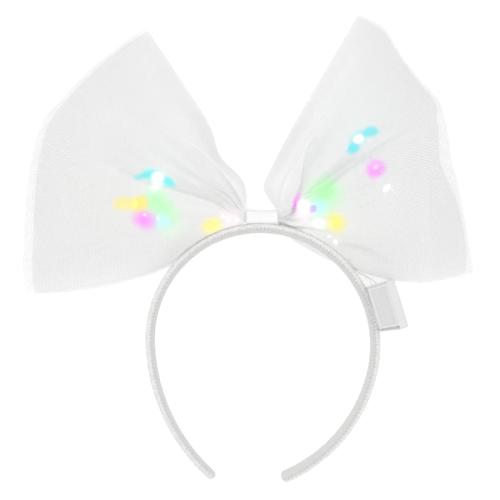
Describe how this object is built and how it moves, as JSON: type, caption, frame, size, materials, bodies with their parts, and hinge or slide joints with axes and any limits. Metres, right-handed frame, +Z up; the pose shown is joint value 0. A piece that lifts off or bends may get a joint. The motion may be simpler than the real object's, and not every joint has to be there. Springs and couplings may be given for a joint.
{
  "type": "light-up bow headband",
  "caption": "Fabric-covered open hoop headband with a large net bow on the crown, coloured fairy lights inside the bow and a small coin-cell box on one side.",
  "frame": {"origin": "on the floor under the middle of the part's box, as it lies on its back", "axes": "+X to the right seen from the bow's front, +Y from the hoop's tips towards the bow, +Z up through the bow's front"},
  "size_m": [0.258, 0.2668, 0.041],
  "materials": {
    "band_cover": "fine white knit",
    "satin": "white satin ribbon",
    "net": "white hexagonal net",
    "wire": "clear coated",
    "case_plastic": "gloss",
    "lid_plastic": "satin",
    "light_cyan": "clear drop",
    "light_clear": "clear drop",
    "light_yellow": "clear drop",
    "light_magenta": "clear drop",
    "light_green": "clear drop",
    "light_rose": "clear drop",
    "light_violet": "clear drop",
    "light_white": "clear drop"
  },
  "bodies": {
    "root": {"band": "band_cover", "knot_ribbon": "satin", "tulle_outer_left": "net", "tulle_inner_left": "net", "tulle_outer_right": "net", "tulle_inner_right": "net", "light_string": "wire", "lead_wire": "wire", "battery_case": "case_plastic", "battery_lid": "lid_plastic", "led_left_1": "light_cyan", "led_left_2": "light_clear", "led_left_3": "light_yellow", "led_left_4": "light_magenta", "led_left_5": "light_green", "led_left_6": "light_yellow", "led_left_7": "light_rose", "led_right_1": "light_rose", "led_right_2": "light_violet", "led_right_3": "light_green", "led_right_4": "light_cyan", "led_right_5": "light_magenta", "led_right_6": "light_clear", "led_right_7": "light_yellow", "led_right_8": "light_white", "led_right_9": "light_clear"}
  },
  "joints": []
}
